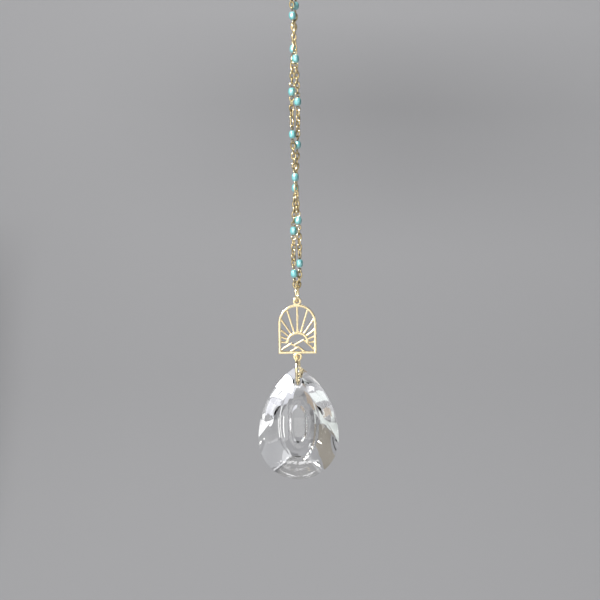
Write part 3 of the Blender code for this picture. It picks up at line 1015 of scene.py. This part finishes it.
    def spokes(self) -> tuple[np.ndarray, np.ndarray, np.ndarray]:
        """All facets around the drop, clockwise from the tip: edge points, outline points, corners."""
        b = self.belly
        flank = self.tip_angle * self.flank
        side = flank + self.side_corner * b
        foot = flank + self.foot_corner * b
        across = flank + (math.pi - self.foot_corner) * b
        corner = self.girdle_at_corner
        girdles = (corner, corner)
        top = (0.0, self.dome_top * self.tip_rise)
        side_in = (self.dome_side[0] * b, self.dome_side[1] * b)
        foot_in = (self.dome_foot[0] * b, self.dome_foot[1] * b)
        far_in = (-foot_in[0], foot_in[1])
        tip_girdles = (self.girdle_at_tip, corner)
        facets = [
            self.facet((top, side_in), self.side_bulge * b, (0.0, side), tip_girdles, self.flank_steps),
            self.facet((side_in, foot_in), self.lower_bulge * b, (side, foot), girdles, self.lower_steps),
            self.facet((foot_in, far_in), self.foot_bulge * b, (foot, across), girdles, self.lower_steps),
        ]
        right = [np.concatenate([facets[0][k], facets[1][k]]) for k in range(3)]
        below = facets[2]
        whole = []
        for k in range(3):
            left = np.concatenate([right[k][1:], below[k][:1]])[::-1]
            if k < 2:
                left = left * (-1.0, 1.0, 1.0)
            whole.append(np.concatenate([right[k], below[k], left]))
        return tuple(whole)

    def build(self) -> bpy.types.Object:
        """Builds both faces and the girdle, marks the real edges sharp and drills the bore.

        A dome point is the edge point times its row's share, at the dome's height. A facet point
        lies on the straight line from the edge point to the outline point.
        """
        edge, rim, corner = self.spokes()
        count = len(edge)
        share = np.arange(1, self.dome_rows + 1)[:, None] / self.dome_rows
        x, rise = edge[None, :, 0] * share, edge[None, :, 2] * share
        dome = np.stack([x, self.dome(x, rise), rise], axis=-1)
        way = np.arange(1, self.facet_rows + 1)[:, None, None] / self.facet_rows
        facets = edge + (rim - edge) * way
        rows = self.dome_rows + self.facet_rows
        side = np.concatenate([[(0.0, self.half_thickness, 0.0)], dome.reshape(-1, 3), facets.reshape(-1, 3)])
        size = len(side)
        tip_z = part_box("crystal_drop")[1].z
        back = side.copy()
        back[:, 1] -= self.eye_cut(side[:, 0], side[:, 2])
        vertices = np.concatenate([side * (1.0, -1.0, 1.0), back]) + (0.0, 0.0, tip_z - self.tip_rise)
        face = grid_quads(rows, count, False, True) + 1
        k = np.arange(count)
        last = 1 + (rows - 1) * count
        after = (k + 1) % count
        girdle = np.column_stack([last + k, last + after, size + last + after, size + last + k])
        apex = np.column_stack([np.zeros(count, int), 1 + k, 1 + after])
        quads = np.concatenate([face, face + size, girdle])
        drop = Shell(vertices, quads, apex.tolist() + (apex + size).tolist()).piece("crystal_pear_drop")
        level = np.concatenate([[0], np.repeat(np.arange(1, rows + 1), count)])
        spoke = np.concatenate([[-1], np.tile(k, rows)])
        face_of = np.arange(2 * size) // size
        self.mark_edges(drop.data, np.tile(level, 2), np.tile(spoke, 2), face_of, corner)
        return self.drilled(drop, tip_z - self.bore_below_tip)

    def mark_edges(
        self,
        mesh: bpy.types.Mesh,
        level: np.ndarray,
        spoke: np.ndarray,
        face: np.ndarray,
        corner: np.ndarray,
    ) -> None:
        """Marks the dome's edge, the girdle's edges and the lines between facets sharp.

        Args:
            mesh: The drop's mesh.
            level: Each vertex's row.
            spoke: Each vertex's spoke.
            face: Which face each vertex is on.
            corner: Which spokes lie between two facets.
        """
        ends = np.zeros(len(mesh.edges) * 2, np.int32)
        mesh.edges.foreach_get("vertices", ends)
        a, b = ends.reshape(-1, 2).T
        same_row = (level[a] == level[b]) & (face[a] == face[b])
        rims = same_row & np.isin(level[a], (self.dome_rows, self.dome_rows + self.facet_rows))
        low = np.minimum(level[a], level[b])
        between = (spoke[a] == spoke[b]) & corner[spoke[a]] & (low >= self.dome_rows)
        marks = mesh.attributes.new("sharp_edge", "BOOLEAN", "EDGE")
        marks.data.foreach_set("value", rims | between)

    def drilled(self, drop: bpy.types.Object, height: float) -> bpy.types.Object:
        """Cuts the bore along Y, a little flared at both mouths.

        Args:
            drop: The undrilled drop.
            height: Height of the bore.

        Returns:
            The drilled drop.
        """
        radius = self.bore / 2.0
        profile = np.array(self.bore_mouths)
        angle = np.linspace(0.0, 2.0 * math.pi, self.bore_sides, endpoint=False)
        wide = radius * profile[:, 1, None]
        depth = np.broadcast_to(profile[:, 0, None], (len(profile), self.bore_sides))
        tube = np.stack([wide * np.cos(angle), depth, height + wide * np.sin(angle)], axis=-1)
        last = (len(profile) - 1) * self.bore_sides
        caps = [list(range(self.bore_sides)), list(range(last, last + self.bore_sides))]
        cutter = Shell(tube.reshape(-1, 3), grid_quads(len(profile), self.bore_sides, False, True), caps)
        tool = cutter.piece("bore_tool")
        cut = drop.modifiers.new("Bore", "BOOLEAN")
        cut.object = tool
        cut.operation = "DIFFERENCE"
        cut.solver = "EXACT"
        applied(drop)
        bpy.data.objects.remove(tool, do_unlink=True)
        skin = bmesh.new()
        skin.from_mesh(drop.data)
        for line in skin.edges:
            if len(line.link_faces) == 2 and line.calc_face_angle() > self.bore_edge_angle:
                line.smooth = False
        skin.to_mesh(drop.data)
        skin.free()
        return drop


# Studio


@dataclass(frozen=True)
class Lamp:
    """A soft box.

    Attributes:
        name: Its name.
        place: Where it hangs.
        width: Its width.
        height: Its height.
        power: Its power in watts.
        colour: The colour of its light.
        target: The point that it looks at.
    """

    name: str
    place: tuple
    width: float
    height: float
    power: float
    colour: Colour = (1.0, 1.0, 1.0)
    target: tuple = (0.0, 0.0, -0.14)


LAMPS = (
    Lamp("key", (-0.75, -0.75, 0.6), 0.26, 0.26, 48.0),
    Lamp("front panel", (-0.9, -1.0, -0.1), 0.8, 1.0, 7.0),
    Lamp("camera panel", (-0.1, -1.4, -0.1), 0.9, 0.9, 3.6, (1.0, 0.98, 0.95)),
    Lamp("right fill", (1.0, -0.6, -0.2), 0.3, 0.9, 2.5),
    Lamp("below right", (0.11, 0.193, -0.54), 0.22, 0.2, 0.13, (0.95, 0.97, 1.0)),
    Lamp("low right", (0.174, 0.478, -0.488), 0.3, 0.3, 0.135, (0.9, 0.91, 1.0)),
    Lamp("wedge right", (0.77, 0.80, -0.41), 0.3, 0.34, 0.32),
    Lamp("right strip", (0.47, 1.4, -0.22), 0.05, 0.3, 0.08, (1.0, 0.99, 0.94)),
    Lamp("grey right", (0.562, 1.205, 0.064), 0.22, 0.2, 0.018, (0.95, 0.96, 1.0)),
    Lamp("below front", (0.0, -0.229, -0.522), 0.2, 0.2, 0.15, (1.0, 0.97, 0.86)),
    Lamp("pale right", (0.42, 1.42, 0.235), 0.2, 0.24, 0.058, (0.97, 0.98, 1.0)),
    Lamp("low left", (-0.66, 0.845, -0.417), 0.4, 0.38, 0.2, (0.9, 1.0, 0.92)),
    Lamp("below left", (-0.15, 0.283, -0.553), 0.26, 0.2, 0.08, (0.91, 1.0, 0.95)),
    Lamp("glint 1", (-0.39, 1.45, 0.23), 0.06, 0.05, 0.06, (1.0, 0.97, 0.9)),
    Lamp("glint 2", (-0.53, 1.44, 0.2), 0.05, 0.05, 0.05, (0.92, 0.97, 1.0)),
    Lamp("glint 3", (-0.399, 0.895, 0.03), 0.025, 0.02, 0.012, (1.0, 0.98, 0.92)),
    Lamp("glint 4", (-0.464, 0.872, -0.014), 0.012, 0.03, 0.009, (1.0, 0.95, 0.88)),
    Lamp("glint 5", (-0.435, 0.875, 0.045), 0.02, 0.015, 0.01),
    Lamp("glint 6", (-0.24, 1.36, 0.42), 0.04, 0.03, 0.03),
    Lamp("glint 7", (-0.14, 1.34, 0.52), 0.06, 0.06, 0.07, (1.0, 0.95, 0.9)),
    Lamp("glint 8", (-0.3, 1.4, 0.36), 0.05, 0.05, 0.05, (0.95, 1.0, 0.97)),
    Lamp("upper back", (-0.15, 0.9, 0.62), 0.12, 0.06, 1.0),
    Lamp("sweep wash", (0.0, 0.3, 1.3), 1.6, 0.5, 20.0, (1.0, 1.0, 1.0), (0.0, 1.7, -0.15)),
)


@dataclass(frozen=True)
class Card:
    """A card outside the picture that the crystal's facets look at.

    Attributes:
        name: Its name.
        place: Its middle.
        width: Its width.
        height: Its height.
        colour: Its colour.
    """

    name: str
    place: tuple
    width: float
    height: float
    colour: Colour


CARDS = (
    Card("dark strip left", (-0.5, 1.4, -0.16), 0.05, 0.5, (0.05, 0.05, 0.05)),
    Card("dark card side left", (-0.61, -0.13, -0.488), 0.2, 0.2, (0.01, 0.01, 0.01)),
    Card("dark card front left", (-0.293, -0.246, -0.49), 0.13, 0.13, (0.01, 0.01, 0.01)),
    Card("dark card above", (0.09, 1.45, 0.265), 0.3, 0.1, (0.01, 0.01, 0.01)),
    Card("warm card left", (-0.54, 0.957, -0.055), 0.22, 0.34, (0.195, 0.178, 0.15)),
    Card("grey card high", (0.0, 1.4, 0.6), 0.5, 0.3, (0.2, 0.2, 0.205)),
    Card("brown card low left", (-0.332, 0.82, -0.51), 0.36, 0.2, (0.24, 0.2, 0.16)),
)


def matt_paint(name: str, colour: Colour) -> bpy.types.Material:
    """Makes a matt paint of one colour.

    Args:
        name: The material's name.
        colour: Its colour.

    Returns:
        The material.
    """
    paint = bpy.data.materials.new(name)
    paint.use_nodes = True
    shader = paint.node_tree.nodes["Principled BSDF"]
    shader.inputs["Base Color"].default_value = (*colour, 1.0)
    shader.inputs["Roughness"].default_value = 0.9
    return paint


@dataclass
class Studio:
    """The plain floor and sweep, the lamps and cards, the dim even surround and the camera."""

    distance: float = 0.9
    frame_height: float = 204.3 * MM
    off_axis: float = 1.0 * MM
    roll: float = math.radians(-0.68)
    above_charm_foot: float = 18.28 * MM
    floor_z: float = -0.6
    sweep_y: float = 1.7
    sweep_top: float = 1.4
    sweep_reach: float = 2.2
    sweep_bend: float = 0.4
    bend_steps: int = 17
    drop_middle: tuple = (0.0, 0.0, -0.17)
    sweep_colour: Colour = (0.296, 0.296, 0.303)
    surround: Colour = (0.12, 0.12, 0.125)
    surround_strength: float = 1.0

    def stage(self) -> None:
        """Makes the floor and backdrop as one bent sheet: flat, a quarter circle, then upright."""
        bend = self.sweep_bend
        angle = np.linspace(0.0, math.pi / 2.0, self.bend_steps)
        y = self.sweep_y - bend + bend * np.sin(angle)
        z = self.floor_z + bend - bend * np.cos(angle)
        ends = [(-self.sweep_reach, self.floor_z)], [(self.sweep_y, self.sweep_top)]
        profile = np.vstack([ends[0], np.column_stack([y, z]), ends[1]])
        rows = len(profile)
        left = np.column_stack([np.full(rows, -self.sweep_reach), profile])
        right = left * (-1.0, 1.0, 1.0)
        vertices = np.stack([left, right], axis=1).reshape(-1, 3)
        sheet = Shell(vertices, grid_quads(rows, 2, False, False)).piece("studio_sweep")
        sheet.data.materials.append(matt_paint("pale sweep", self.sweep_colour))

    def world(self) -> None:
        """Sets the even, dim surround and the plain view transform."""
        world = bpy.data.worlds.new("surround")
        world.use_nodes = True
        sky = world.node_tree.nodes["Background"]
        sky.inputs["Color"].default_value = (*self.surround, 1.0)
        sky.inputs["Strength"].default_value = self.surround_strength
        bpy.context.scene.world = world
        bpy.context.scene.view_settings.view_transform = "Standard"

    def light(self, lamp: Lamp) -> None:
        """Hangs a soft box and turns it to its target."""
        data = bpy.data.lights.new(lamp.name, "AREA")
        data.shape = "RECTANGLE"
        data.size = lamp.width
        data.size_y = lamp.height
        data.energy = lamp.power
        data.color = lamp.colour
        holder = bpy.data.objects.new(lamp.name, data)
        holder.location = lamp.place
        aim = Vector(lamp.target) - Vector(lamp.place)
        holder.rotation_euler = aim.to_track_quat("-Z", "Y").to_euler()
        bpy.context.scene.collection.objects.link(holder)

    def card(self, card: Card) -> None:
        """Stands a card up, turned to the drop: four corners about its middle."""
        sides = np.array([(-1.0, -1.0), (1.0, -1.0), (-1.0, 1.0), (1.0, 1.0)]) / 2.0
        flat = np.column_stack([sides[:, 0] * card.width, sides[:, 1] * card.height, np.zeros(4)])
        aim = Vector(self.drop_middle) - Vector(card.place)
        turn = Matrix.Translation(card.place) @ aim.to_track_quat("Z", "Y").to_matrix().to_4x4()
        name = card.name.replace(" ", "_")
        board = Shell(flat, grid_quads(2, 2, False, False)).moved(turn).piece(name)
        board.data.materials.append(matt_paint(card.name, card.colour))

    def camera(self, charm_foot: float) -> None:
        """Places the level camera, rolled as the photograph leans.

        Args:
            charm_foot: Height of the charm's lower edge.
        """
        data = bpy.data.cameras.new("camera")
        data.sensor_width = 36.0
        data.lens = data.sensor_width * self.distance / self.frame_height
        data.clip_start = 0.01
        holder = bpy.data.objects.new("camera", data)
        holder.location = (self.off_axis, -self.distance, charm_foot + self.above_charm_foot)
        level = Matrix.Rotation(math.pi / 2.0, 4, "X")
        holder.rotation_euler = (level @ Matrix.Rotation(self.roll, 4, "Z")).to_euler()
        bpy.context.scene.collection.objects.link(holder)
        bpy.context.scene.camera = holder

    def build(self, charm_foot: float) -> None:
        """Sets up everything around the object."""
        self.stage()
        self.world()
        for lamp in LAMPS:
            self.light(lamp)
        for card in CARDS:
            self.card(card)
        self.camera(charm_foot)


def main() -> None:
    """Builds and hangs each piece from the hook down, then the studio."""
    logging.basicConfig(level=logging.INFO, format="%(name)s: %(message)s")
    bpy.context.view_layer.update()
    wear = wear_group()
    gold = PALE_GOLD.material(wear)
    # The chain's finish carries painted shade in its near-black deep tone.
    chain_gold_with_painted_shade = CHAIN_GOLD_WITH_PAINTED_SHADE.material(wear)
    turquoise = TURQUOISE_GLASS.material(wear)
    crystal = ClearCrystal().material(wear)
    quarter = math.pi / 2.0
    hanger = Ring(
        node="hanging_ring",
        name="hanging_ring_wire",
        radius=5.6 * MM,
        wire=0.8 * MM,
        turn=0.0,
        seam_angle=math.radians(62.0),
    )
    joiner = Ring(
        node="upper_jump_ring",
        name="upper_ring_wire",
        radius=2.6 * MM,
        wire=0.8 * MM,
        turn=quarter + math.radians(-8.0),
        seam_angle=math.radians(20.0),
    )
    carrier = Ring(
        node="lower_jump_ring",
        name="lower_ring_wire",
        radius=4.65 * MM,
        wire=0.9 * MM,
        turn=quarter + math.radians(-6.0),
        seam_angle=math.radians(15.0),
    )
    for ring in (hanger, joiner, carrier):
        hang(ring.build(), gold, ring.node)
    strands = TwistedStrands(hanger, joiner)
    for name, start_angle, links_below in (("strand_a", 0.0, 3), ("strand_b", math.pi, 1)):
        wires, beads = strands.build(name, start_angle, links_below)
        hang(wires.piece(f"{name}_links"), chain_gold_with_painted_shade, f"{name}_chain")
        for number, shell in enumerate(beads, start=1):
            bead = strands.soft_edged(shell.piece(f"{name}_cut_bead_{number}"))
            hang(bead, turquoise, f"{name}_bead_{number}")
    charm = SunCharm()
    hang(charm.build(), gold, "sun_charm")
    hang(CrystalDrop().build(), crystal, "crystal_drop")
    Studio().build(charm.foot)


if __name__ == "__main__":
    main()
